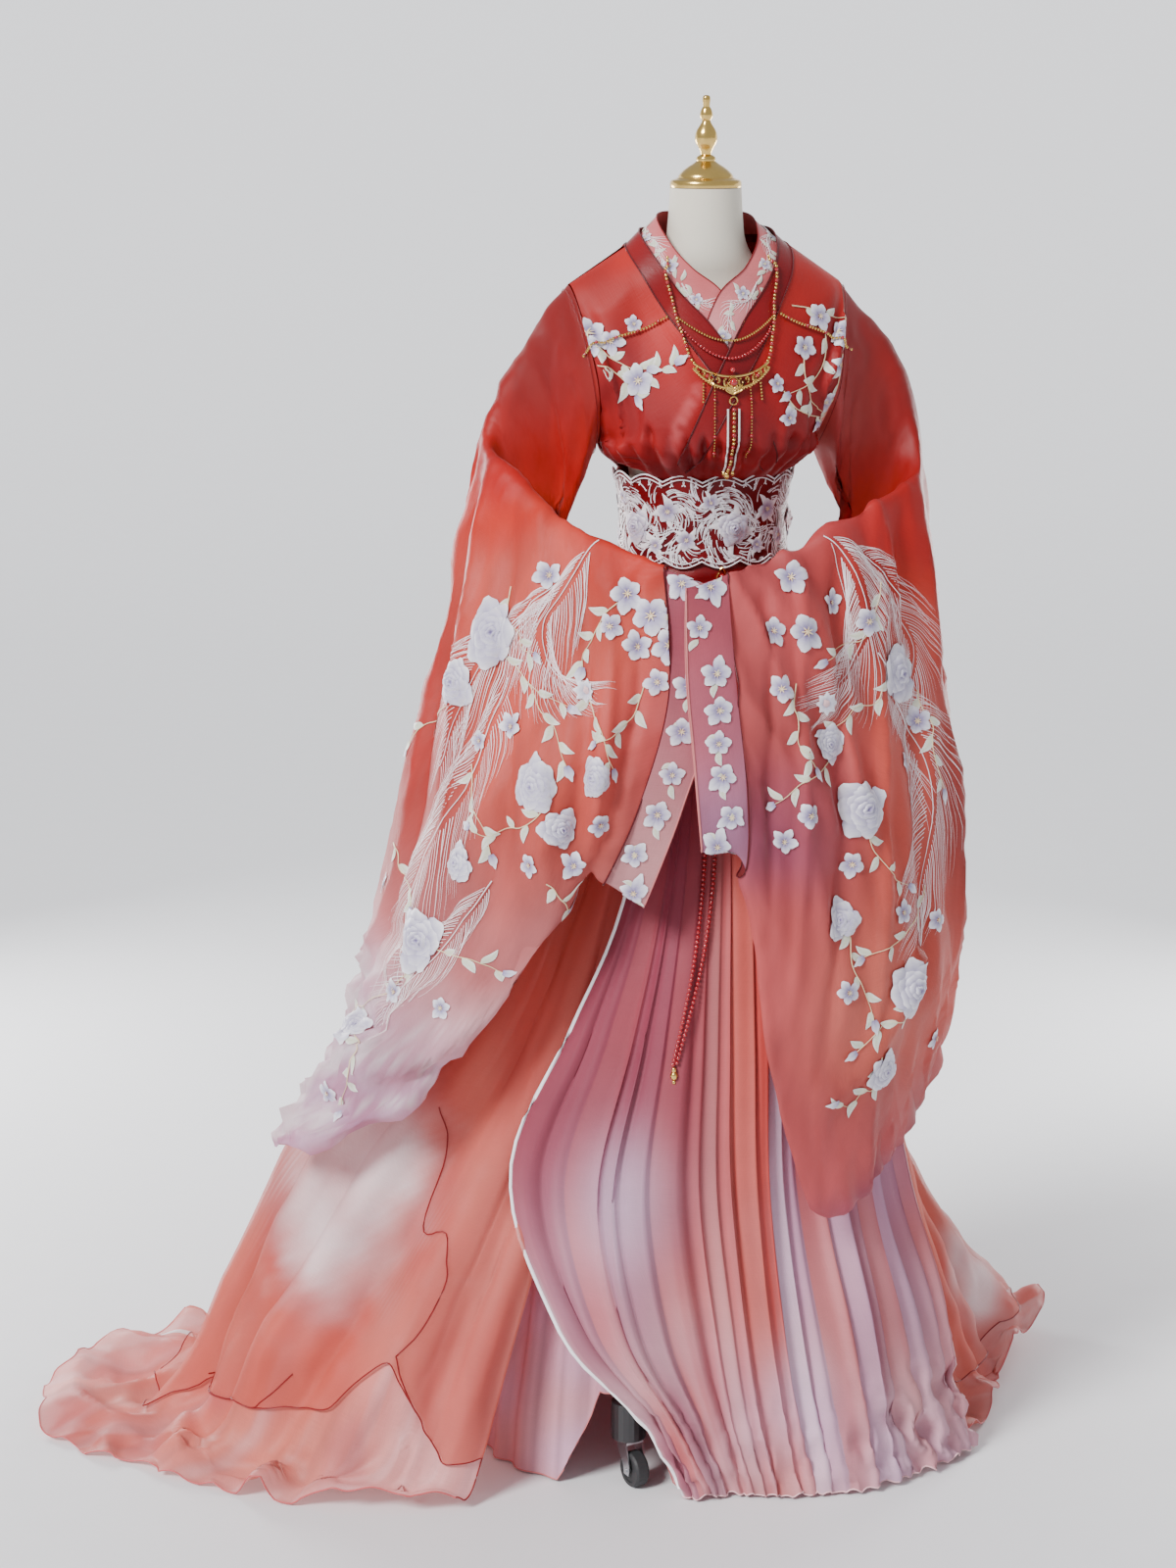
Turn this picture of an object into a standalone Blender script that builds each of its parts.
"""A hanfu robe set on a limbless dress form with a wheeled stand.

Metres, +Z up. The wearer faces -Y, turned a little towards +X, so the wearer's left is +X.
Each cloth piece is a wall of even thickness on a grid of points. The grid is read smoothly from
a short table: a row for each section of a sleeve, or for each line that runs down a skirt.
Directions round the pole are in degrees from -Y, positive towards +X.
"""

import math

import bmesh
import bpy
import numpy as np
from mathutils import Matrix, Vector
from mathutils.bvhtree import BVHTree

# ---------------------------------------------------------------- driving sizes
CLOTH = 0.002  # wall of the robe, sleeves and skirts
BAND = 0.0022  # wall of the doubled collar, cuff and belt bands
SEAM = 0.0006  # gap where two panels are sewn edge to edge
RIDGE_GAP = 0.0019  # the same, each side of the shoulder seam, where the panels meet at an angle
LAYER = 0.0029  # from the middle of one worn layer to the middle of the next
FACE_GAP = 0.0003  # gap between hard faces that touch
TURN = 13  # degrees that the form is turned towards +X
POLE_AT = (0.20775, -0.1225, 0.0)

NECK_TOP = 1.757
FORM_BOTTOM = 0.985
BELT_TOP, BELT_BOTTOM = 1.378, 1.272
SASH_TOP, SASH_BOTTOM = 1.284, 1.212
WAISTBAND = 1.238  # the skirts' top edges, under the sash
HIP_LINE, HIP_EASE = 1.185, 0.007  # where the skirts leave the form, and how far out they are there
BODICE_BOTTOM = 1.354  # the bodice's lower edge, under the belt
UNDERARM_SHARE = 0.66  # part of the bodice's side that is armhole, down to the underarm

CASTOR_CIRCLE = 0.228  # pole's axis to a castor's stem
WHEEL_RADIUS, WHEEL_WIDTH = 0.025, 0.020
WHEEL_SIDES = 24
AXLE_HEIGHT = WHEEL_RADIUS * math.cos(math.pi / WHEEL_SIDES)  # the wheels stand on a flat of their rims
AXLE_RADIUS, BORE_RADIUS = 0.003, 0.0034
TRAIL = 0.017  # castor stem to its axle
FORK_TOP = 0.0655
SOCKET_RADIUS, SOCKET_BOTTOM, SOCKET_TOP = 0.024, 0.066, 0.120
LEG_BOTTOM, LEG_TOP, LEG_WIDTH = 0.094, 0.112, 0.030
HUB_RADIUS, HUB_TOP = 0.048, 0.124
TUBE_RADIUS, POLE_RADIUS, TUBE_TOP = 0.017, 0.0125, 0.62

# ---------------------------------------------------------------- tables
# Rings of the form: height, half width, half depth, how far forward its middle lies.
FORM_RINGS = (
    (FORM_BOTTOM, 0.104, 0.084, 0.000),
    (1.000, 0.114, 0.091, 0.000),
    (1.080, 0.120, 0.096, 0.000),
    (1.200, 0.113, 0.089, 0.000),
    (1.270, 0.101, 0.080, 0.000),
    (1.325, 0.098, 0.076, 0.000),
    (1.385, 0.103, 0.080, 0.001),
    (1.450, 0.116, 0.088, 0.006),
    (1.515, 0.128, 0.094, 0.010),
    (1.570, 0.134, 0.084, 0.002),
    (1.610, 0.128, 0.066, -0.006),
    (1.640, 0.098, 0.056, -0.006),
    (1.664, 0.068, 0.053, -0.002),
    (1.688, 0.054, 0.051, 0.000),
    (1.715, 0.050, 0.050, 0.000),
    (NECK_TOP, 0.0475, 0.0475, 0.000),
)

# The middle of the chest: height, and how far forward of the pole it lies. It falls back by
# CHEST_ROUND times the square of the distance to one side.
CHEST = (
    (1.354, 0.086), (1.372, 0.100), (1.388, 0.118), (1.410, 0.131), (1.460, 0.134), (1.520, 0.124),
    (1.571, 0.106), (1.622, 0.080), (1.656, 0.070), (1.686, 0.050), (1.700, 0.044),
)
CHEST_ROUND = 2.5
LAYER_FORWARD = 1.5 * LAYER  # a layer's step, measured straight forward on the sloping chest

# The crossed collar's run on the wearer's left, from the middle of the nape over the shoulder,
# across the chest and down to the belt: its inner edge, then its outer edge. From the crossing
# down it lies on the chest, so there y is worked out.
COLLAR_RUN = (
    ((0.000, 0.062, 1.722), (0.000, 0.084, 1.690)),
    ((0.046, 0.046, 1.724), (0.063, 0.062, 1.692)),
    ((0.065, 0.004, 1.716), (0.094, 0.002, 1.690)),
    ((0.058, -0.042, 1.686), (0.087, -0.053, 1.657)),
    ((0.035, -0.066, 1.656), (0.063, -0.087, 1.616)),
    ((0.000, -0.078, 1.628), (0.030, -0.108, 1.574)),
    ((-0.029, -0.102, 1.580), (-0.003, -0.124, 1.524)),
    ((-0.056, -0.118, 1.524), (-0.030, -0.134, 1.474)),
    ((-0.078, -0.112, 1.464), (-0.052, -0.126, 1.428)),
    ((-0.088, -0.090, 1.416), (-0.070, -0.100, 1.400)),
)
SHOULDER, CHEST_END, BELT_END = 2, 6.5, 9  # named rows of the collar's run, from the nape at 0
COLLAR_STEP = 0.5  # between a collar's own rows, the same for each so that their facets nest
INNER_BAND = (0.0, 1.0)  # the inner collar, across the run
ROBE_BAND = (0.74, 1.42)  # the robe's own collar lies over its outer part

# The armhole on the wearer's left: top, two points down the back, underarm, two up the front.
ARMHOLE = (
    (0.186, 0.000, 1.634),
    (0.180, 0.058, 1.585),
    (0.166, 0.074, 1.500),
    (0.148, 0.004, 1.424),
    (0.162, -0.078, 1.500),
    (0.178, -0.056, 1.585),
)

# Sections of the sleeve on the wearer's right, from the upper arm to the cuff. The outer wall's
# top, high, low and hem points, then the way it faces and the hollow's depth at high and low.
SLEEVE_RIGHT = (
    ((-0.240, -0.010, 1.542), (-0.258, 0.058, 1.450), (-0.250, 0.070, 1.300), (-0.222, 0.030, 1.225),
     -145, 0.130, 0.100),
    ((-0.283, 0.000, 1.448), (-0.330, 0.062, 1.215), (-0.372, 0.085, 0.920), (-0.340, 0.085, 0.735),
     -115, 0.110, 0.060),
    ((-0.290, -0.038, 1.416), (-0.370, -0.015, 1.110), (-0.446, -0.020, 0.790), (-0.440, 0.010, 0.600),
     -92, 0.10, 0.055),
    ((-0.262, -0.088, 1.388), (-0.345, -0.112, 1.085), (-0.430, -0.125, 0.730), (-0.590, -0.120, 0.466),
     -70, 0.11, 0.050),
    ((-0.208, -0.150, 1.348), (-0.268, -0.220, 1.060), (-0.330, -0.250, 0.800), (-0.425, -0.215, 0.548),
     -46, 0.11, 0.050),
    ((-0.146, -0.202, 1.318), (-0.178, -0.272, 1.085), (-0.212, -0.292, 0.905), (-0.250, -0.275, 0.738),
     -32, 0.08, 0.040),
    ((-0.098, -0.232, 1.300), (-0.115, -0.285, 1.115), (-0.142, -0.297, 0.968), (-0.166, -0.286, 0.888),
     -22, 0.05, 0.030),
    ((-0.058, -0.252, 1.286), (-0.052, -0.290, 1.130), (-0.090, -0.298, 0.985), (-0.134, -0.288, 0.882),
     -14, 0.035, 0.022),
    ((-0.010, -0.264, 1.270), (0.006, -0.292, 1.130), (-0.036, -0.298, 0.978), (-0.083, -0.290, 0.850),
     -8, 0.022, 0.016),
)

# The same for the sleeve on the wearer's left, whose cuff lies in front of the other.
SLEEVE_LEFT = (
    ((0.243, 0.038, 1.546), (0.260, 0.102, 1.450), (0.252, 0.112, 1.300), (0.226, 0.070, 1.225),
     145, 0.130, 0.100),
    ((0.284, 0.026, 1.440), (0.310, 0.088, 1.205), (0.330, 0.108, 0.930), (0.298, 0.105, 0.720),
     115, 0.110, 0.060),
    ((0.290, -0.020, 1.390), (0.318, 0.008, 1.120), (0.360, 0.008, 0.845), (0.346, 0.028, 0.600),
     92, 0.09, 0.055),
    ((0.262, -0.066, 1.366), (0.304, -0.092, 1.085), (0.346, -0.100, 0.780), (0.300, -0.102, 0.506),
     66, 0.10, 0.050),
    ((0.205, -0.126, 1.345), (0.242, -0.190, 1.045), (0.264, -0.226, 0.740), (0.218, -0.228, 0.438),
     40, 0.10, 0.036),
    ((0.135, -0.186, 1.308), (0.162, -0.268, 1.060), (0.176, -0.292, 0.780), (0.148, -0.285, 0.430),
     26, 0.07, 0.032),
    ((0.066, -0.236, 1.294), (0.088, -0.306, 1.100), (0.096, -0.320, 0.880), (0.088, -0.308, 0.620),
     16, 0.045, 0.024),
    ((0.022, -0.276, 1.284), (0.032, -0.326, 1.150), (0.046, -0.336, 1.020), (0.050, -0.326, 0.905),
     9, 0.026, 0.018),
    ((-0.032, -0.300, 1.271), (-0.030, -0.336, 1.160), (-0.020, -0.340, 1.050), (-0.010, -0.332, 0.935),
     4, 0.020, 0.014),
)
CUFF_SEAM = 8  # the section where the cuff band is sewn on

# Lines down the pleated skirt, from its free edge on the wearer's right: direction, then radius,
# at each of the heights below the waistband.
SKIRT_HEIGHTS = (0.84, 0.65, 0.45, 0.25, 0.12, 0.004)
SKIRT_LINES = (
    (-20, (-29, 0.217), (-41, 0.270), (-52, 0.328), (-38, 0.322), (-17, 0.286), (-5, 0.268)),
    (-8, (-14, 0.222), (-20, 0.266), (-26, 0.305), (-20, 0.298), (-7, 0.280), (3, 0.266)),
    (5, (0, 0.222), (-2, 0.260), (-3, 0.285), (2, 0.282), (7, 0.276), (14, 0.270)),
    (20, (15, 0.225), (14, 0.255), (14, 0.272), (18, 0.286), (22, 0.290), (27, 0.295)),
    (38, (33, 0.228), (32, 0.250), (32, 0.268), (36, 0.302), (39, 0.318), (42, 0.332)),
    (60, (54, 0.232), (50, 0.256), (50, 0.288), (54, 0.332), (57, 0.352), (60, 0.372)),
    (80, (76, 0.234), (72, 0.262), (70, 0.300), (73, 0.348), (75, 0.376), (77, 0.402)),
)
SKIRT_PLEATS, SKIRT_PLEAT_DEPTH = 20, 0.007

# Lines down the robe's long panels, from the front edge on the wearer's right, round the back,
# to the front edge on the wearer's left. The last two columns lie on the floor as the train.
ROBE_HEIGHTS = (0.95, 0.65, 0.45, 0.22, 0.030, 0.004)
ROBE_LINES = (
    (-12, (-20, 0.172), (-33, 0.234), (-43, 0.282), (-46, 0.356), (-47, 0.425), (-48, 0.452)),
    (-35, (-42, 0.178), (-50, 0.268), (-58, 0.350), (-61, 0.460), (-62, 0.545), (-62, 0.615)),
    (-60, (-62, 0.195), (-68, 0.325), (-75, 0.460), (-77, 0.600), (-77, 0.690), (-77, 0.790)),
    (-85, (-86, 0.200), (-88, 0.360), (-90, 0.552), (-90, 0.660), (-90, 0.745), (-87, 0.940)),
    (-108, (-108, 0.200), (-107, 0.345), (-106, 0.520), (-105, 0.640), (-104, 0.730), (-101, 0.935)),
    (-130, (-128, 0.195), (-126, 0.305), (-124, 0.430), (-122, 0.550), (-120, 0.650), (-117, 0.800)),
    (-155, (-153, 0.188), (-152, 0.262), (-150, 0.350), (-149, 0.450), (-148, 0.540), (-146, 0.650)),
    (-180, (-180, 0.184), (-180, 0.242), (-180, 0.315), (-180, 0.400), (-180, 0.480), (-180, 0.575)),
    (-207, (-207, 0.182), (-207, 0.236), (-206, 0.296), (-206, 0.380), (-206, 0.465), (-206, 0.560)),
    (-228, (-228, 0.181), (-229, 0.232), (-230, 0.290), (-232, 0.385), (-232, 0.500), (-232, 0.590)),
    (-243, (-243, 0.181), (-243, 0.230), (-242, 0.290), (-242, 0.415), (-241, 0.560), (-240, 0.628)),
    (-262, (-262, 0.180), (-261, 0.227), (-260, 0.278), (-258, 0.352), (-257, 0.425), (-256, 0.475)),
    (-278, (-278, 0.179), (-276, 0.224), (-274, 0.272), (-272, 0.330), (-271, 0.382), (-270, 0.428)),
    (-294, (-292, 0.178), (-291, 0.220), (-290, 0.266), (-288, 0.318), (-287, 0.352), (-286, 0.385)),
)
ROBE_SEAMS = (4.5, 9.5)  # rows between the right panel, the back and the left panel
ROBE_FOLDS, ROBE_FOLD_DEPTH = 23, 0.011
TRAIN_LIFT = ((8.5, 0.0), (10.0, 0.050), (11.5, 0.0))  # the hem's rise, at rows of the lines

# Lines down the underskirt: direction, then radius at each height; it is lifted over one castor.
UNDER_HEIGHTS = (0.84, 0.65, 0.45, 0.25, 0.12, 0.004)
UNDER_LINES = (
    (-180, 0.172, 0.205, 0.235, 0.262, 0.288, 0.300),
    (-120, 0.170, 0.205, 0.240, 0.270, 0.290, 0.302),
    (-90, 0.165, 0.205, 0.245, 0.280, 0.300, 0.312),
    (-69, 0.162, 0.205, 0.245, 0.285, 0.305, 0.316),
    (-50, 0.160, 0.200, 0.240, 0.272, 0.290, 0.300),
    (-26, 0.160, 0.195, 0.225, 0.245, 0.252, 0.256),
    (-5, 0.165, 0.200, 0.225, 0.232, 0.230, 0.230),
    (20, 0.170, 0.205, 0.225, 0.240, 0.238, 0.240),
    (42, 0.172, 0.205, 0.228, 0.255, 0.275, 0.285),
    (64, 0.172, 0.205, 0.232, 0.262, 0.290, 0.304),
    (90, 0.172, 0.202, 0.232, 0.262, 0.290, 0.304),
    (130, 0.172, 0.202, 0.232, 0.262, 0.290, 0.304),
)
UNDER_PLEATS, UNDER_PLEAT_DEPTH = 22, 0.005
ARCH_AT, ARCH_WIDTH, ARCH_HEIGHT = -26, 17, 0.142  # the hem's lift over the castor that shows

# Jewellery in the form's own frame, on the wearer's left: how far across, forward and up.
# Each point is then settled on the cloth behind it.
STRAND_RUN = (
    (0.062, -0.052, 1.672), (0.068, -0.076, 1.634), (0.066, -0.094, 1.602), (0.058, -0.112, 1.568),
    (0.048, -0.122, 1.540), (0.026, -0.130, 1.524), (0.000, -0.135, 1.517),
)
SHOULDER_RUN = (
    (0.073, -0.090, 1.596), (0.100, -0.088, 1.584), (0.128, -0.082, 1.572), (0.156, -0.074, 1.560),
    (0.184, -0.058, 1.544),
)
DROPS = ((0.000, 1.392, 0.0030), (-0.022, 1.415, 0.0014), (0.022, 1.412, 0.0014))  # across, foot, radius
DROP_TOP = 1.506
STRAND_RADIUS, CHAIN_RADIUS, BEAD_RADIUS = 0.0018, 0.0015, 0.0022
NEAR = 0.005  # jewellery clears all the cloth this near to its own line
PLATE_HALF, PLATE_HEIGHT, PLATE_DEPTH, PLATE_SAG = 0.050, 0.015, 0.002, 0.017
PLATE_TOP = 1.5385
# The long bead strand, from the belt's clasp down the skirt: across and height.
BEAD_RUN = (
    (0.004, 1.236), (0.010, 1.180), (0.012, 1.080), (0.009, 0.980), (0.004, 0.880), (-0.006, 0.780),
    (-0.018, 0.700), (-0.031, 0.625),
)
CLASP_AT, HOOK_AT = (0.026, 1.258, 0.012), (-0.092, 1.262, 0.007)  # across, height, reach

# Castors: direction of each stem, and the way its wheel trails.
CASTORS = ((-26, 30), (64, 100), (-206, 160), (-116, -150))


# ---------------------------------------------------------------- collections and materials
def collection(name):
    found = bpy.data.collections.new(name)
    bpy.context.scene.collection.children.link(found)
    return found


def material(name, color, roughness, metallic=0.0, alpha=1.0):
    made = bpy.data.materials.new(name)
    made.use_nodes = True
    made.diffuse_color = (*color, 1)
    shader = made.node_tree.nodes["Principled BSDF"]
    shader.inputs["Base Color"].default_value = (*color, 1)
    shader.inputs["Roughness"].default_value = roughness
    shader.inputs["Metallic"].default_value = metallic
    shader.inputs["Alpha"].default_value = alpha
    return made


def put(name, data, look, parent, folder):
    """An object with its own copy of a material, in a collection and under a parent."""
    thing = bpy.data.objects.new(name, data)
    own = look.copy()
    own.name = name + "_finish"
    data.materials.append(own)
    folder.objects.link(thing)
    thing.parent = parent
    return thing


# ---------------------------------------------------------------- curves and grids
def smooth(points, at, ring=False):
    """Catmull-Rom through the points, read at fractional places; a ring joins its ends."""
    points = np.asarray(points, float)
    at = np.asarray(at, float)
    first = np.floor(at).astype(int)
    if not ring:
        first = np.clip(first, 0, len(points) - 2)
        ends = 2 * points[:1] - points[1:2], 2 * points[-1:] - points[-2:-1]
        points = np.concatenate([ends[0], points, ends[1]])
        first = first + 1
        t = at - first + 1
    else:
        t = at - first
    t = t.reshape(-1, *[1] * (points.ndim - 1))
    a, b, c, d = (points[(first + k) % len(points)] for k in (-1, 0, 1, 2))
    return 0.5 * (2 * b + (c - a) * t + (2 * a - 5 * b + 4 * c - d) * t**2 + (3 * b - a - 3 * c + d) * t**3)


def net(table, rows, columns, ring=False):
    """A table of points, read smoothly at these rows and columns."""
    across = smooth(table, rows).swapaxes(0, 1)
    return smooth(across, columns, ring).swapaxes(0, 1)


def polar(grid):
    """Points given as direction in degrees, radius and height, made into x, y and z."""
    turn = np.radians(grid[..., 0])
    return np.stack([grid[..., 1] * np.sin(turn), -grid[..., 1] * np.cos(turn), grid[..., 2]], -1)


def unpolar(points):
    """The direction, radius and height of points, with directions running on unbroken."""
    turn = np.degrees(np.unwrap(np.arctan2(points[..., 0], -points[..., 1])))
    return np.stack([turn, np.hypot(points[..., 0], points[..., 1]), points[..., 2]], -1)


def turned(points, degrees=TURN):
    """Points of the form's own frame, turned with it."""
    c, s = math.cos(math.radians(degrees)), math.sin(math.radians(degrees))
    return np.stack([points[..., 0] * c - points[..., 1] * s,
                     points[..., 0] * s + points[..., 1] * c, points[..., 2]], -1)


def mirrored(points):
    return points * (-1, 1, 1)


def raised(grid, height, ring=False):
    """A grid moved along its own normals by a height, or by a height for each point."""
    down = np.gradient(grid, axis=0)
    if ring:
        across = np.roll(grid, -1, axis=1) - np.roll(grid, 1, axis=1)
    else:
        across = np.gradient(grid, axis=1)
    normal = np.cross(down, across)
    normal /= np.linalg.norm(normal, axis=-1, keepdims=True) + 1e-12
    return grid + normal * np.broadcast_to(height, grid.shape[:2])[..., None]


def coons(start, end, top, bottom):
    """A patch between four edges: start and end run down it, top and bottom run across it."""
    u = np.linspace(0, 1, len(top))[None, :, None]
    v = np.linspace(0, 1, len(start))[:, None, None]
    sides = (1 - u) * start[:, None] + u * end[:, None]
    caps = (1 - v) * top[None] + v * bottom[None]
    corners = (1 - v) * ((1 - u) * top[0] + u * top[-1]) + v * ((1 - u) * bottom[0] + u * bottom[-1])
    return sides + caps - corners


def waist_point(direction, height, out):
    """A point this far outside the form's ring at a height, in a direction round the pole."""
    rings = np.array(FORM_RINGS)
    half_width = np.interp(height, rings[:, 0], rings[:, 1]) + out
    half_depth = np.interp(height, rings[:, 0], rings[:, 2]) + out
    forward = np.interp(height, rings[:, 0], rings[:, 3])
    at = np.radians(np.asarray(direction, float) - TURN)
    flat = np.stack([half_width * np.sin(at), -half_depth * np.cos(at) - forward,
                     np.broadcast_to(height, at.shape)], -1)
    return turned(flat)


def waist_radius(direction, height, out):
    """How far from the pole a point this far outside the form is, in a direction round the pole."""
    ring = unpolar(waist_point(np.arange(0, 360, 3), height, out))
    return np.interp(np.asarray(direction) % 360, ring[:, 0] % 360, ring[:, 1], period=360)


def grid_mesh(name, grid, ring=False):
    """A mesh of four-sided faces through a grid; a ring joins its last column to its first."""
    rows, columns = grid.shape[:2]
    mesh = bpy.data.meshes.new(name)
    index = np.arange(rows * columns).reshape(rows, columns)
    right = np.roll(index, -1, axis=1)
    faces = np.stack([index[:-1], index[1:], right[1:], right[:-1]], -1)
    if not ring:
        faces = faces[:, :-1]
    mesh.from_pydata(grid.reshape(-1, 3).tolist(), [], faces.reshape(-1, 4).tolist())
    mesh.polygons.foreach_set("use_smooth", [True] * len(mesh.polygons))
    return mesh


def wall(name, grid, look, rig, thickness=CLOTH, ring=False):
    """Cloth: an open sheet on the grid, given its thickness by Solidify."""
    thing = put(name, grid_mesh(name, grid, ring), look, rig["frame"], rig["parts"])
    solid = thing.modifiers.new("wall", "SOLIDIFY")
    solid.thickness = thickness
    solid.offset = 0
    return thing


def turned_solid(name, profile, look, rig, steps, parent=None):
    """A turned shape: its profile of radius and height, screwed once round the axis."""
    mesh = bpy.data.meshes.new(name)
    mesh.from_pydata([(r, 0, z) for r, z in profile], [(i, i + 1) for i in range(len(profile) - 1)], [])
    thing = put(name, mesh, look, parent or rig["frame"], rig["parts"])
    screw = thing.modifiers.new("turn", "SCREW")
    screw.steps = screw.render_steps = steps
    screw.use_merge_vertices = True
    screw.merge_threshold = 0.00001
    screw.use_smooth_shade = True
    return thing


def tube(name, points, radius, look, rig, sides=1):
    """A wire, chain or rod along these points."""
    curve = bpy.data.curves.new(name, "CURVE")
    curve.dimensions = "3D"
    curve.bevel_depth = radius
    curve.bevel_resolution = sides
    curve.use_fill_caps = True
    line = curve.splines.new("POLY")
    line.points.add(len(points) - 1)
    for knot, place in zip(line.points, points):
        knot.co = (*place, 1)
    return put(name, curve, look, rig["frame"], rig["parts"])


def guide(name, shape, rig):
    """A shape that other parts are joined with, kept out of the render."""
    mesh = bpy.data.meshes.new(name)
    shape.to_mesh(mesh)
    shape.free()
    thing = bpy.data.objects.new(name, mesh)
    rig["guides"].objects.link(thing)
    thing.hide_render = True
    thing.display_type = "WIRE"
    return thing


def box(name, size, middle, rig):
    shape = bmesh.new()
    lie = Matrix.Translation(middle) @ Matrix.Diagonal((*size, 1))
    bmesh.ops.create_cube(shape, size=1, matrix=lie)
    return guide(name, shape, rig)


def cylinder(name, radius, low, high, look, rig, sides=32, bevel=0.001):
    mesh = bpy.data.meshes.new(name)
    shape = bmesh.new()
    bmesh.ops.create_cone(shape, cap_ends=True, segments=sides, radius1=radius, radius2=radius,
                          depth=high - low, matrix=Matrix.Translation((0, 0, (low + high) / 2)))
    shape.to_mesh(mesh)
    shape.free()
    thing = put(name, mesh, look, rig["frame"], rig["parts"])
    if bevel:
        soften(thing, bevel)
    return thing


def soften(thing, width):
    edge = thing.modifiers.new("edge", "BEVEL")
    edge.width = width
    edge.segments = 1
    edge.limit_method = "ANGLE"
    edge.angle_limit = math.radians(40)


# ---------------------------------------------------------------- form and stand
def build_form(rig):
    """The limbless form: rings lofted from the hips to the neck, closed flat at both ends."""
    rings = np.array(FORM_RINGS)
    sides = 32
    at = np.linspace(0, 2 * np.pi, sides, endpoint=False)[None, :]
    heights, half_width, half_depth, forward = (rings[:, k][:, None] for k in range(4))
    grid = turned(np.stack([half_width * np.sin(at), -half_depth * np.cos(at) - forward,
                            heights + 0 * at], -1))
    mesh = grid_mesh("form_torso", grid, ring=True)
    shape = bmesh.new()
    shape.from_mesh(mesh)
    low = [e for e in shape.edges if e.is_boundary and e.verts[0].co.z < FORM_BOTTOM + 0.01]
    bmesh.ops.contextual_create(shape, geom=low)
    bmesh.ops.contextual_create(shape, geom=[e for e in shape.edges if e.is_boundary])
    bmesh.ops.recalc_face_normals(shape, faces=shape.faces)
    shape.to_mesh(mesh)
    shape.free()
    put("form_torso", mesh, rig["cream"], rig["frame"], rig["parts"])


def build_finial(rig):
    """The turned cap on the neck and the finial above it."""
    low = NECK_TOP + FACE_GAP
    profile = ((0, 1.877), (0.0042, 1.876), (0.0052, 1.871), (0.0046, 1.862), (0.0066, 1.858),
               (0.0086, 1.852), (0.0066, 1.846), (0.0060, 1.842), (0.0125, 1.831), (0.0150, 1.822),
               (0.0125, 1.814), (0.0070, 1.800), (0.0125, 1.796), (0.0165, 1.789), (0.0260, 1.782),
               (0.0365, 1.773), (0.0385, 1.769), (0.0455, 1.767), (0.0475, 1.763), (0.0475, 1.759),
               (0.0460, low), (0, low))
    turned_solid("neck_cap_finial", profile, rig["gold"], rig, steps=20)


def build_stand(rig):
    """The pole in its outer tube, and the hub with four legs."""
    cylinder("stand_pole", POLE_RADIUS, TUBE_TOP + FACE_GAP, FORM_BOTTOM - FACE_GAP, rig["chrome"], rig, 20, 0)
    cylinder("stand_tube", TUBE_RADIUS, HUB_TOP + FACE_GAP, TUBE_TOP, rig["black"], rig, 24)
    hub = cylinder("stand_base", HUB_RADIUS, LEG_BOTTOM - 0.006, HUB_TOP, rig["black"], rig, 32, 0)
    reach = CASTOR_CIRCLE - SOCKET_RADIUS - FACE_GAP
    for k, (direction, _) in enumerate(CASTORS):
        leg = box(f"leg_{k + 1}", (LEG_WIDTH, reach, LEG_TOP - LEG_BOTTOM),
                  (0, -reach / 2, (LEG_TOP + LEG_BOTTOM) / 2), rig)
        leg.parent = rig["frame"]
        leg.rotation_euler.z = math.radians(direction)
        union = hub.modifiers.new(leg.name, "BOOLEAN")
        union.operation = "UNION"
        union.object = leg
    soften(hub, 0.002)


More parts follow.
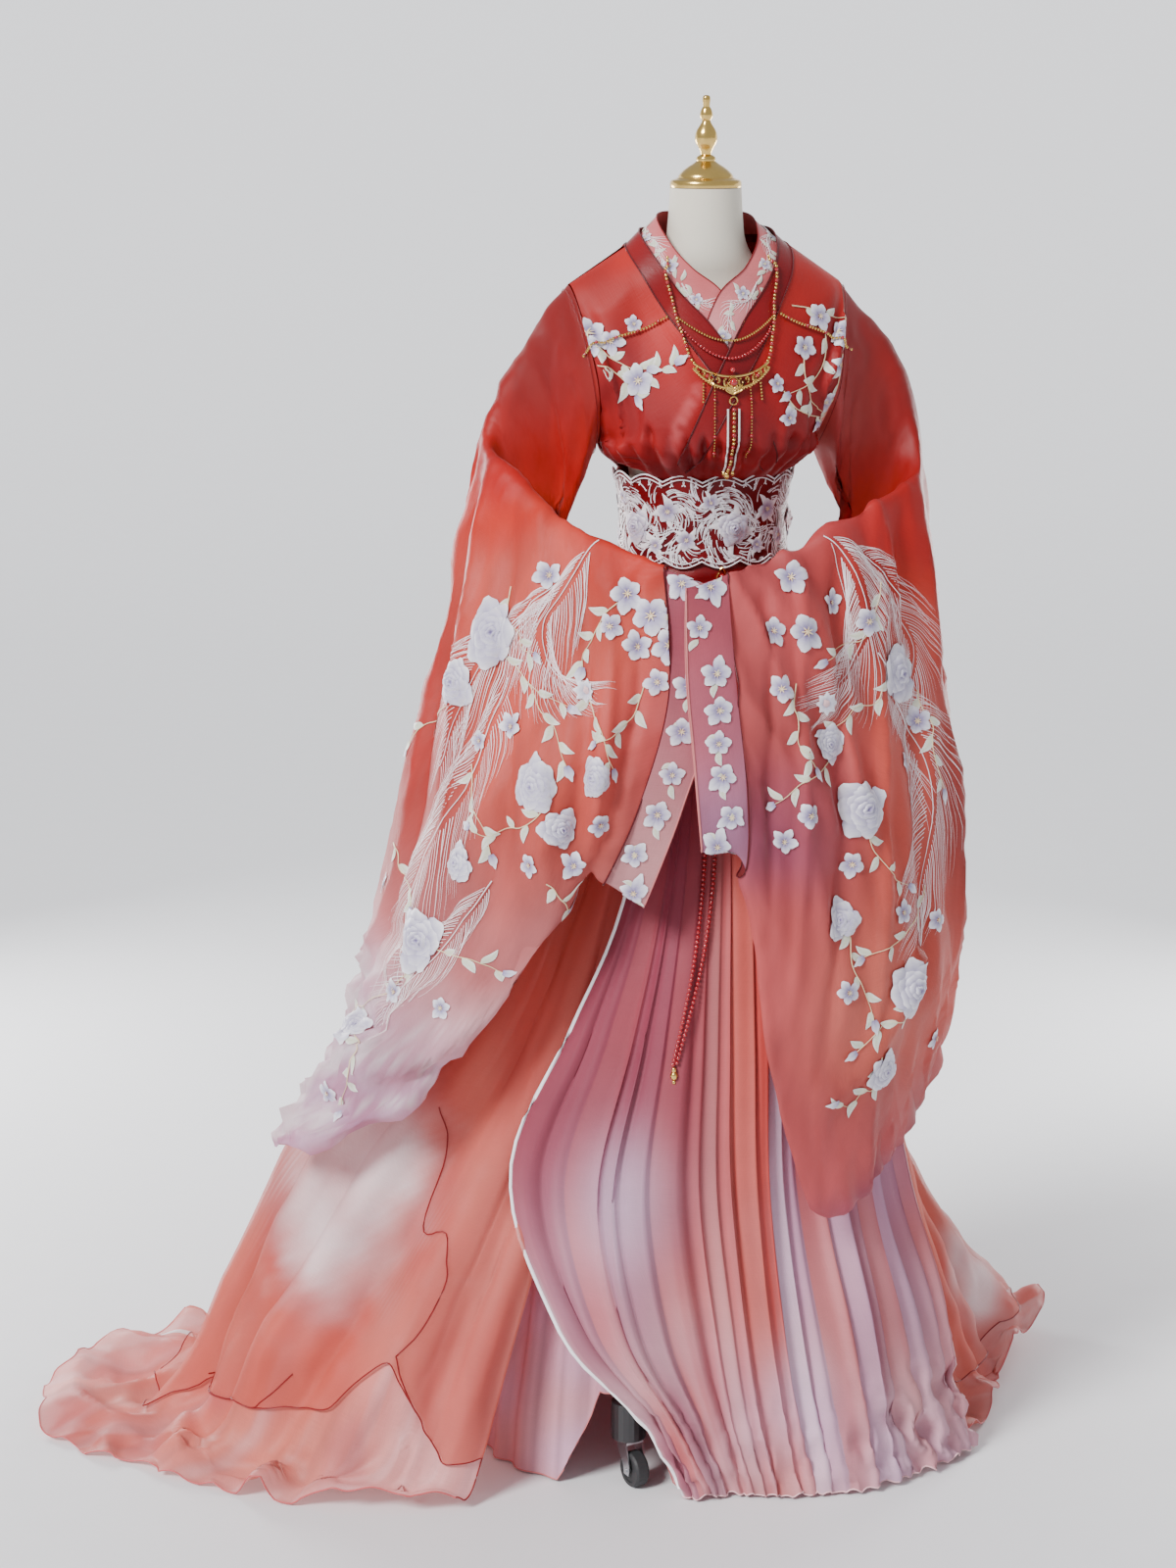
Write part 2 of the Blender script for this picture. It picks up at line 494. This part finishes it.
def build_castor(rig, number, direction, trailing):
    """One castor: the socket on the leg's end, the fork with its axle, and the wheel."""
    at = polar(np.array([direction, CASTOR_CIRCLE, 0.0]))
    socket = cylinder(f"castor_socket_{number}", SOCKET_RADIUS, SOCKET_BOTTOM, SOCKET_TOP,
                      rig["black"], rig, 20, 0.001)
    socket.location = at

    swivel = bpy.data.objects.new(f"castor_swivel_{number}", None)
    rig["parts"].objects.link(swivel)
    swivel.parent = rig["frame"]
    swivel.location = at
    swivel.rotation_euler.z = math.radians(trailing - 90)

    cheek_at = WHEEL_WIDTH / 2 + 0.0026
    mesh = bpy.data.meshes.new("fork")
    shape = bmesh.new()
    bmesh.ops.create_cube(shape, size=1, matrix=Matrix.Translation((0.001, 0, FORK_TOP - 0.002))
                          @ Matrix.Diagonal((0.034, 2 * cheek_at + 0.002, 0.004, 1)))
    shape.to_mesh(mesh)
    shape.free()
    fork = put(f"castor_fork_{number}", mesh, rig["steel"], swivel, rig["parts"])
    outline = ((-0.013, FORK_TOP - 0.003), (0.015, FORK_TOP - 0.003), (TRAIL + 0.008, 0.031),
               (TRAIL + 0.006, 0.018), (TRAIL - 0.006, 0.018), (TRAIL - 0.009, 0.031))
    for side in (-1, 1):
        cheek = plate(f"cheek_{number}_{side}", outline, 0.002, side * cheek_at, rig)
        cheek.parent = swivel
        join(fork, cheek)
    axle = rod(f"axle_{number}", AXLE_RADIUS, 2 * cheek_at + 0.006, (TRAIL, 0, AXLE_HEIGHT), rig)
    axle.parent = swivel
    join(fork, axle)

    half = WHEEL_WIDTH / 2
    profile = ((BORE_RADIUS, half - 0.002), (0.018, half - 0.002), (0.0185, half), (0.023, half),
               (WHEEL_RADIUS, half - 0.003), (WHEEL_RADIUS, -half + 0.003), (0.023, -half),
               (0.0185, -half), (0.018, -half + 0.002), (BORE_RADIUS, -half + 0.002),
               (BORE_RADIUS, half - 0.002))
    wheel = turned_solid(f"castor_wheel_{number}", profile, rig["rubber"], rig, WHEEL_SIDES, swivel)
    wheel.location = (TRAIL, 0, AXLE_HEIGHT)
    wheel.rotation_euler = (math.radians(90), math.pi / WHEEL_SIDES, 0)


def join(body, piece):
    union = body.modifiers.new(piece.name, "BOOLEAN")
    union.operation = "UNION"
    union.object = piece


def plate(name, outline, thickness, across, rig):
    """A flat outline in x and z, given a thickness along y."""
    shape = bmesh.new()
    face = shape.faces.new([shape.verts.new((x, across - thickness / 2, z)) for x, z in outline])
    pushed = bmesh.ops.extrude_face_region(shape, geom=[face])
    moved = [v for v in pushed["geom"] if isinstance(v, bmesh.types.BMVert)]
    bmesh.ops.translate(shape, vec=(0, thickness, 0), verts=moved)
    bmesh.ops.recalc_face_normals(shape, faces=shape.faces)
    return guide(name, shape, rig)


def rod(name, radius, length, middle, rig):
    shape = bmesh.new()
    lie = Matrix.Translation(middle) @ Matrix.Rotation(math.radians(90), 4, "X")
    bmesh.ops.create_cone(shape, cap_ends=True, segments=16, radius1=radius, radius2=radius,
                          depth=length, matrix=lie)
    return guide(name, shape, rig)


# ---------------------------------------------------------------- bodice
def collar(end, band, nape_layer, layer, start=0.0):
    """A band on the collar's run, on the wearer's left, raised by these layers at nape and chest."""
    along = np.arange(start, end + COLLAR_STEP / 2, COLLAR_STEP)
    edges = smooth(COLLAR_RUN, along)
    inner, outer = edges[:, 0], edges[:, 1]
    across = np.linspace(*band, 3)[None, :, None]
    flat = inner[:, None] * (1 - across) + outer[:, None] * across
    chest = np.clip((along - 2.5) / 1.5, 0, 1)
    height = LAYER * (nape_layer + (layer - nape_layer) * np.clip(along / 3, 0, 1))
    round_neck = raised(flat, height[:, None])
    return round_neck * (1 - chest[:, None, None]) + on_chest(flat, layer) * chest[:, None, None]


def on_chest(points, layer):
    """Points moved back or forward until they lie on the chest, this many layers out."""
    heights, depths = np.array(CHEST).T
    lying = points.copy()
    lying[..., 1] = CHEST_ROUND * points[..., 0] ** 2 - np.interp(points[..., 2], heights, depths)
    lying[..., 1] -= layer * LAYER_FORWARD
    return lying


def side_edge(which, rows):
    """The edge of a front or back panel: the armhole to the underarm, then the side seam."""
    share = np.linspace(0, 1, rows)
    sign = -1 if which == "front" else 1
    hole = smooth(ARMHOLE, sign * 3 * np.clip(share / UNDERARM_SHARE, 0, 1) % 6, ring=True)
    underarm = np.array(ARMHOLE[3])
    waist = waist_point(90 + TURN, BODICE_BOTTOM, 0.0018)
    waist = turned(waist, -TURN)
    blouse, tuck = np.array((0.141, 0.002, 1.407)), np.array((0.117, 0.002, 1.389))
    below = np.clip((share - UNDERARM_SHARE) / (1 - UNDERARM_SHARE), 0, 1)
    seam = smooth([underarm, blouse, tuck, waist], 3 * below)
    return np.where((share <= UNDERARM_SHARE)[:, None], hole, seam)


def blouse_out(rows, columns, amount):
    """How far the bodice blouses out: most above the belt, nothing at its edges."""
    v = np.linspace(0, 1, rows)[:, None]
    u = np.linspace(0, 1, columns)[None, :]
    return amount * np.sin(np.pi * u) * np.exp(-(((v - 0.75) / 0.11) ** 2))


def front(layer, columns=8):
    """A front panel on the wearer's left, from its collar band round to the armhole."""
    band = collar(BELT_END, (ROBE_BAND[0], ROBE_BAND[1] + SEAM / 0.021), layer - 1, layer, SHOULDER)
    rows = len(band)
    start = unpolar(band[:, -1])
    end = unpolar(side_edge("front", rows))
    share = np.linspace(0, 1, columns)[:, None]
    top = start[0] * (1 - share) + end[0] * share
    bottom = start[-1] * (1 - share) + end[-1] * share
    ring = turned(waist_point(bottom[:, 0] + TURN, BODICE_BOTTOM, 0.0018), -TURN)
    ring_radius = np.hypot(ring[:, 0], ring[:, 1])
    bottom[:, 1] = ring_radius + (1 - share[:, 0]) ** 3 * (start[-1, 1] - ring_radius[0])
    patch = coons(start, end, top, bottom)
    patch[..., 1] += blouse_out(rows, columns, 0.012)
    grid = polar(patch)
    near = np.clip((0.155 - np.abs(grid[..., :1])) / 0.045, 0, 1)
    near = near * np.clip((1.60 - grid[..., 2:]) / 0.05, 0, 1)
    grid = grid * (1 - near) + on_chest(grid, layer) * near
    grid[:, -1] = grid[:, -1] - seam_step(grid)
    grid[0] = grid[0] + (0, -RIDGE_GAP, 0)
    return grid


def seam_step(grid):
    """Half a seam's gap, back into the panel from its last column."""
    step = grid[:, -1] - grid[:, -2]
    return step / np.linalg.norm(step, axis=-1, keepdims=True) * SEAM / 2


def build_bodice(rig):
    for side, inner_layer, robe_layer, flip in (("right", 0, 1.8, True), ("left", 1, 3, False)):
        turn = (lambda g: turned(mirrored(g))) if flip else turned
        inner = collar(CHEST_END, INNER_BAND, 0, inner_layer)
        inner[0, :, 0] = SEAM / 2
        robe = collar(BELT_END, ROBE_BAND, 1.2, robe_layer)
        robe[0, :, 0] = SEAM / 2
        wall(f"inner_collar_{side}", turn(inner), rig["pink"], rig, BAND)
        wall(f"robe_collar_{side}", turn(robe), rig["dark_red"], rig, BAND)
        wall(f"robe_front_{side}", turn(front(robe_layer)), rig["red"], rig)
    build_back(rig)


def build_back(rig, rows=9, half_columns=8):
    """The back panel: shoulders and nape at the top, armholes and side seams at the sides."""
    nape = collar(SHOULDER, (ROBE_BAND[0], ROBE_BAND[1] + SEAM / 0.02), 1.2, 2.5)[:, -1]
    end = side_edge("back", rows)
    ridge = unpolar(end)[0]
    neck = unpolar(nape[-1:])[0]
    share = np.linspace(0, 1, 4)[1:, None]
    shoulder = polar(neck * (1 - share) + ridge * share)
    half = np.concatenate([nape, shoulder])
    length = np.concatenate([[0], np.cumsum(np.linalg.norm(np.diff(half, axis=0), axis=1))])
    even = np.linspace(0, length[-1], half_columns)
    half = np.stack([np.interp(even, length, half[:, k]) for k in range(3)], -1)
    top = np.concatenate([mirrored(half[:0:-1]), half])
    columns = len(top)
    middle = unpolar(top)
    middle[:, 0] = np.degrees(np.arctan2(top[:, 0], -top[:, 1])) % 360
    start = unpolar(mirrored(end))
    start[:, 0] = np.degrees(np.arctan2(-end[:, 0], -end[:, 1])) % 360
    last = unpolar(end)
    last[:, 0] = np.degrees(np.arctan2(end[:, 0], -end[:, 1])) % 360
    share = np.linspace(0, 1, columns)[:, None]
    bottom = start[-1] * (1 - share) + last[-1] * share
    ring = turned(waist_point(bottom[:, 0] + TURN, BODICE_BOTTOM, 0.0018), -TURN)
    bottom[:, 1] = np.hypot(ring[:, 0], ring[:, 1])
    patch = coons(start, last, middle, bottom)
    bulge = np.sin(np.pi * np.linspace(0, 1, rows))[:, None] * np.sin(np.pi * np.linspace(0, 1, columns))[None]
    patch[..., 1] += 0.010 * bulge + blouse_out(rows, columns, 0.012)
    grid = polar(patch)
    grid[:, -1] -= seam_step(grid)
    grid[:, 0] -= seam_step(grid[:, ::-1])
    grid[0] = grid[0] + (0, RIDGE_GAP, 0)
    wall("robe_back", turned(grid), rig["red"], rig)


# ---------------------------------------------------------------- sleeves
def sleeve_sections(table, flip):
    """Rings of six points down a sleeve: top, high, low and hem outside, low and high inside."""
    hole = np.array(ARMHOLE)
    rings = [turned(mirrored(hole) if flip else hole)]
    for top, high, low, hem, facing, deep_high, deep_low in table:
        way = polar(np.array([facing, 1.0, 0.0]))
        high, low = np.array(high), np.array(low)
        rings.append(np.array([top, high, low, hem, low - way * deep_low, high - way * deep_high]))
    return np.array(rings)


def build_sleeve(rig, side, table, flip):
    sections = sleeve_sections(table, flip)
    last = len(sections) - 1
    around = np.arange(16) * 6 / 16
    gap = 2.8 * SEAM / 0.09
    rows = np.concatenate([[gap], np.arange(0.5, CUFF_SEAM, 0.5), [CUFF_SEAM - gap]])
    wall(f"sleeve_{side}", net(sections, rows, around, ring=True), rig["coral"], rig, ring=True)
    rows = np.linspace(CUFF_SEAM + gap, last, 3)
    wall(f"sleeve_cuff_{side}", net(sections, rows, around, ring=True), rig["pink"], rig, BAND, ring=True)


# ---------------------------------------------------------------- belt, skirts and panels
def hoop(name, heights, outs, look, rig, thickness, columns=40, wave=0.0, waves=10):
    """A closed band round the waist, each row this far outside the form; its edges may scallop."""
    directions = np.arange(columns) * 360 / columns
    rows = []
    for k, (height, out) in enumerate(zip(heights, outs)):
        edge = {0: 1, len(heights) - 1: -1}.get(k, 0)
        ripple = edge * wave * np.abs(np.sin(np.radians(directions) * waves / 2))
        row = waist_point(directions, height, out)
        row[:, 2] += ripple
        rows.append(row)
    wall(name, np.array(rows), look, rig, thickness, ring=True)


def skirt_grid(lines, heights, rows, out, top, columns):
    """Lines of direction and radius at set heights, read at these rows, under a waistband."""
    points = []
    for line in lines:
        waist = [(line[0], 0, top), (line[0], 0, HIP_LINE)]
        below = [(direction, radius, height) for (direction, radius), height in zip(line[1:], heights)]
        points.append(waist + below)
    points = np.array(points, float)
    for column, ease in ((0, 0), (1, HIP_EASE)):
        points[:, column, 1] = waist_radius(points[:, column, 0], points[0, column, 2], out + ease)
    grid = net(points, rows, columns)
    for column, ease in ((0, 0), (1, HIP_EASE)):
        grid[:, column, 1] = waist_radius(grid[:, column, 0], points[0, column, 2], out + ease)
    return grid


def pleated(grid, folds, depth):
    """Folds across a grid in polar form: radius goes in and out, more towards the hem."""
    rows, columns = grid.shape[:2]
    turn = np.linspace(0, 1, rows)[:, None] * folds
    grow = np.clip((np.arange(columns)[None] - 1) / 3, 0, 1)
    uneven = 1 + 0.35 * np.sin(turn * 2.3) + 0.2 * np.sin(turn * 5.1 + 1)
    out = grid.copy()
    out[..., 1] += depth * grow * uneven * np.cos(2 * np.pi * turn)
    return out


def build_skirts(rig):
    columns = np.array([0, 1, 2, 3, 4, 5, 5.5, 6, 6.5, 7])
    few = np.arange(8)
    lines = [(line[0], *[(line[0], radius) for radius in line[1:]]) for line in UNDER_LINES]
    lines = lines + [(180, *[(180, radius) for _, radius in lines[0][1:]])]
    around = np.linspace(0, len(UNDER_LINES), 2 * UNDER_PLEATS + 1)[:-1]
    under = skirt_grid(lines, UNDER_HEIGHTS, around, 0.0018, WAISTBAND - 0.004, few)
    under = pleated(under, UNDER_PLEATS, UNDER_PLEAT_DEPTH)
    away = np.abs((under[..., 0] - ARCH_AT + 180) % 360 - 180)
    lift = ARCH_HEIGHT * np.clip(1.5 - 1.5 * away / ARCH_WIDTH, 0, 1)
    under[..., 2] = np.maximum(under[..., 2], lift + np.clip(under[..., 2] * 0.25, 0, 0.06) * (lift > 0))
    wall("underskirt", polar(under).swapaxes(0, 1), rig["lilac"], rig, ring=True)

    rows = np.linspace(0, len(SKIRT_LINES) - 1, 2 * SKIRT_PLEATS + 1)
    skirt = skirt_grid(SKIRT_LINES, SKIRT_HEIGHTS, rows, 0.0018 + 2 * LAYER, WAISTBAND + 0.004, few)
    skirt = pleated(skirt, SKIRT_PLEATS, SKIRT_PLEAT_DEPTH)
    wall("skirt_front", polar(skirt), rig["pink"], rig)

    gap = SEAM / 0.04
    ends = (0, *ROBE_SEAMS, len(ROBE_LINES) - 1)
    for name, start, end, steps in (("right", ends[0], ends[1], 18), ("back", ends[1], ends[2], 18),
                                    ("left", ends[2], ends[3], 14)):
        rows = np.linspace(start + (gap if start else 0), end - (gap if end < ends[3] else 0), steps)
        panel = skirt_grid(ROBE_LINES, ROBE_HEIGHTS, rows, 0.0018 + LAYER, WAISTBAND, columns)
        fold = rows[:, None] / ends[3] * ROBE_FOLDS
        grow = np.clip((columns[None] - 1) / 4, 0, 1) * np.clip(7.6 - columns[None], 0.15, 1)
        grow = grow * np.clip(np.minimum(rows, ends[3] - rows) / 2 - 0.2, 0.15, 1)[:, None]
        panel[..., 1] += ROBE_FOLD_DEPTH * grow * np.sin(2 * np.pi * fold) * (1 + 0.4 * np.sin(fold * 1.7))
        lift = np.interp(rows, *np.array(TRAIN_LIFT).T)[:, None]
        panel[..., 2] += lift * np.clip((columns[None] - 4) / 3, 0, 1)
        grid = polar(panel)
        grid[..., 2] = np.maximum(grid[..., 2], 0.0016 + CLOTH / 2)
        wall(f"robe_skirt_{name}", grid, rig["coral"], rig)


def build_waist(rig):
    heights, outs = (BELT_TOP, 1.345, 1.298, BELT_BOTTOM), (0.0205, 0.0172, 0.0163, 0.0162)
    hoop("belt", heights, outs, rig["white"], rig, BAND, wave=0.005)
    heights, outs = (SASH_TOP, 1.262, 1.238, SASH_BOTTOM), (0.0128, 0.0128, 0.0128, 0.0150)
    hoop("sash", heights, outs, rig["dark_red"], rig, CLOTH)


# ---------------------------------------------------------------- jewellery
def cloth_tree(names):
    """The outer faces of built cloth, to settle jewellery on."""
    graph = bpy.context.evaluated_depsgraph_get()
    points, faces = [], []
    for name in names:
        solid = bpy.data.objects[name].evaluated_get(graph).to_mesh()
        first = len(points)
        points.extend(v.co.copy() for v in solid.vertices)
        faces.extend(tuple(first + k for k in face.vertices) for face in solid.polygons)
    return BVHTree.FromPolygons(points, faces)


def settled(tree, points, lift, rise=0.0):
    """Points moved until they lie this far outside the cloth near them, coming in from outside it."""
    found = []
    for point in points:
        outward = Vector((point[0], point[1], rise)).normalized()
        side = Vector((outward.y, -outward.x, 0)).normalized() * NEAR
        steps = (Vector(), side, -side, Vector((0, 0, NEAR)), Vector((0, 0, -NEAR)))
        start = Vector(point) + outward * 0.1
        hits = [tree.ray_cast(start + step, -outward)[3] for step in steps]
        found.append(start - outward * (min([h for h in hits if h] or [0.1]) - lift))
    return found


def run_points(run, count):
    return smooth(run, np.linspace(0, len(run) - 1, count))


def build_jewellery(rig):
    worn = ("inner_collar", "robe_collar", "robe_front", "sleeve")
    chest = cloth_tree([f"{piece}_{side}" for piece in worn for side in ("right", "left")])
    half = run_points(STRAND_RUN, 21)
    strand = turned(np.concatenate([mirrored(half), half[-2::-1]]))
    strand = settled(chest, strand, STRAND_RADIUS + 0.0012)
    tube("necklace_strand", strand, STRAND_RADIUS, rig["gold"], rig)
    build_plate(rig, chest)
    for number, (across, foot, radius) in enumerate(DROPS, 1):
        run = np.array([(across, -0.13, z) for z in np.linspace(DROP_TOP, foot, 7)])
        run = settled(chest, turned(run), radius + 0.0006)
        tube(f"necklace_drop_{number}", run, radius, rig["gold"], rig)
    for side, flip in (("right", True), ("left", False)):
        run = run_points(SHOULDER_RUN, 13)
        run = turned(mirrored(run) if flip else run)
        run = settled(chest, run, CHAIN_RADIUS + 0.0014, 0.05)
        tube(f"shoulder_chain_{side}", run, CHAIN_RADIUS, rig["gold"], rig)
    waist = cloth_tree(["belt", "sash"])
    for name, (across, height, reach) in (("belt_clasp", CLASP_AT), ("belt_hook", HOOK_AT)):
        run = np.array([(across, -0.11, z) for z in np.linspace(height + 0.008, height - 2 * reach, 5)])
        tube(name, settled(waist, run, 0.0020), 0.002, rig["gold"], rig)
    skirt = cloth_tree(["skirt_front", "sash"])
    run = run_points([(across, -0.2, height) for across, height in BEAD_RUN], 24)
    tube("bead_strand", settled(skirt, run, BEAD_RADIUS + 0.0010), BEAD_RADIUS, rig["ruby"], rig)


def build_plate(rig, chest):
    """The necklace's crescent: a curved bar whose middle hangs lowest."""
    across = np.linspace(-1, 1, 13)
    rows = []
    for share in (0, 0.5, 1):
        height = PLATE_TOP - PLATE_SAG * (1 - across**2) - share * PLATE_HEIGHT * (1 - 0.55 * across**2)
        rows.append(np.stack([across * PLATE_HALF, -0.13 + 0 * across, height], -1))
    flat = turned(np.array(rows)).reshape(-1, 3)
    grid = np.array(settled(chest, flat, 2 * STRAND_RADIUS + 0.0036)).reshape(3, -1, 3)
    wall("necklace_plate", grid, rig["gold"], rig, PLATE_DEPTH)


# ---------------------------------------------------------------- the whole
def main():
    for thing in list(bpy.data.objects):
        bpy.data.objects.remove(thing)
    parts, guides = collection("hanfu_robe_on_dress_form"), collection("construction_guides")
    frame = bpy.data.objects.new("pole_axis", None)
    frame.location = POLE_AT
    parts.objects.link(frame)
    rig = {
        "parts": parts,
        "guides": guides,
        "frame": frame,
        "cream": material("cream_linen", (0.78, 0.72, 0.62), 0.8),
        "gold": material("polished_gold", (0.90, 0.62, 0.15), 0.18, 1.0),
        "chrome": material("chrome", (0.75, 0.75, 0.77), 0.15, 1.0),
        "steel": material("plated_steel", (0.62, 0.63, 0.65), 0.3, 1.0),
        "black": material("black_plastic", (0.02, 0.02, 0.022), 0.4),
        "rubber": material("black_tyre", (0.03, 0.03, 0.03), 0.6),
        "red": material("red_organza", (0.45, 0.03, 0.025), 0.5),
        "dark_red": material("dark_red_silk", (0.22, 0.01, 0.015), 0.5),
        "coral": material("coral_organza", (0.72, 0.16, 0.12), 0.5),
        "pink": material("dusty_pink_organza", (0.70, 0.32, 0.32), 0.5),
        "lilac": material("lilac_organza", (0.66, 0.44, 0.50), 0.5),
        "white": material("white_embroidery", (0.82, 0.78, 0.80), 0.6),
        "ruby": material("ruby_glass", (0.35, 0.01, 0.02), 0.1),
    }
    build_form(rig)
    build_finial(rig)
    build_stand(rig)
    for number, (direction, trailing) in enumerate(CASTORS, 1):
        build_castor(rig, number, direction, trailing)
    build_bodice(rig)
    build_sleeve(rig, "right", SLEEVE_RIGHT, flip=True)
    build_sleeve(rig, "left", SLEEVE_LEFT, flip=False)
    build_waist(rig)
    build_skirts(rig)
    build_jewellery(rig)


main()
